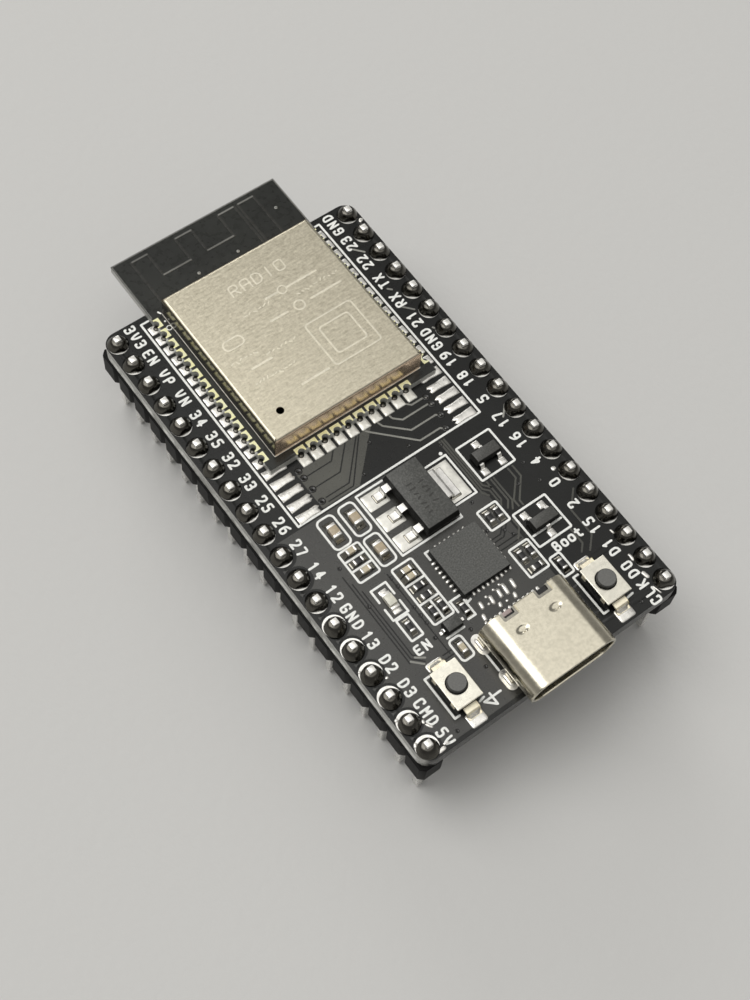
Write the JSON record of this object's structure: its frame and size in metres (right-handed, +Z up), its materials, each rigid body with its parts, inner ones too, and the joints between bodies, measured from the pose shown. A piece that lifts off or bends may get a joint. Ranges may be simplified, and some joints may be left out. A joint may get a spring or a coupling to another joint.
{
  "type": "microcontroller development board",
  "caption": "Small black circuit board with a shielded radio module, USB-C socket, two push buttons and two rows of header pins for plugging into a breadboard.",
  "frame": {"origin": "centre of the footprint at the level of the header pin tips, so the board stands on its pins", "axes": "+X across the two pin rows, +Y from the USB end towards the aerial end, +Z up out of the board's top face"},
  "size_m": [0.028, 0.055, 0.0134],
  "materials": {
    "solder_mask": "semi-gloss black solder mask over glass laminate",
    "header_plastic": "matte black moulded plastic",
    "pin_metal": "bright tin plating over brass",
    "can_metal": "finely brushed, warm silver",
    "shell_metal": "satin stamped steel, warm silver",
    "cover_metal": "satin stamped steel",
    "package_plastic": "matte dark grey moulding compound with fine speckle",
    "switch_plastic": "black moulded plastic",
    "plunger_plastic": "dark grey satin plastic",
    "spring_steel": "bright spring steel",
    "led_body": "cream clear resin over white ceramic",
    "silk_ink": "flat white printed ink",
    "solder": "bright solder",
    "gold_pad": "pale gold plating",
    "ceramic": "tan glazed ceramic"
  },
  "bodies": {
    "board": {"board_pcb": "solder_mask", "header_strip_left": "header_plastic", "header_strip_right": "header_plastic", "radio_pcb": "solder_mask", "radio_can": "can_metal", "radio_chip": "package_plastic", "flash_chip": "package_plastic", "usb_shell": "shell_metal", "usb_housing": "switch_plastic", "voltage_regulator": "package_plastic", "usb_bridge_chip": "package_plastic", "transistor_1": "package_plastic", "transistor_2": "package_plastic", "power_led": "led_body", "en_switch_base": "switch_plastic", "en_switch_cover": "cover_metal", "en_switch_dome": "spring_steel", "boot_switch_base": "switch_plastic", "boot_switch_cover": "cover_metal", "boot_switch_dome": "spring_steel", "pin_left_01": "pin_metal", "pin_left_02": "pin_metal", "pin_left_03": "pin_metal", "pin_left_04": "pin_metal", "pin_left_05": "pin_metal", "pin_left_06": "pin_metal", "pin_left_07": "pin_metal", "pin_left_08": "pin_metal", "pin_left_09": "pin_metal", "pin_left_10": "pin_metal", "pin_left_11": "pin_metal", "pin_left_12": "pin_metal", "pin_left_13": "pin_metal", "pin_left_14": "pin_metal", "pin_left_15": "pin_metal", "pin_left_16": "pin_metal", "pin_left_17": "pin_metal", "pin_left_18": "pin_metal", "pin_left_19": "pin_metal", "pin_right_01": "pin_metal", "pin_right_02": "pin_metal", "pin_right_03": "pin_metal", "pin_right_04": "pin_metal", "pin_right_05": "pin_metal", "pin_right_06": "pin_metal", "pin_right_07": "pin_metal", "pin_right_08": "pin_metal", "pin_right_09": "pin_metal", "pin_right_10": "pin_metal", "pin_right_11": "pin_metal", "pin_right_12": "pin_metal", "pin_right_13": "pin_metal", "pin_right_14": "pin_metal", "pin_right_15": "pin_metal", "pin_right_16": "pin_metal", "pin_right_17": "pin_metal", "pin_right_18": "pin_metal", "pin_right_19": "pin_metal"},
    "en_button": {"en_plunger": "plunger_plastic"},
    "boot_button": {"boot_plunger": "plunger_plastic"}
  },
  "joints": [
    {"name": "en_press", "type": "slide", "parent": "board", "child": "en_button", "axis": [0, 0, -1], "range_m": [0, 0.00025], "stiffness_N_per_m": 6400},
    {"name": "boot_press", "type": "slide", "parent": "board", "child": "boot_button", "axis": [0, 0, -1], "range_m": [0, 0.00025], "stiffness_N_per_m": 6400}
  ]
}
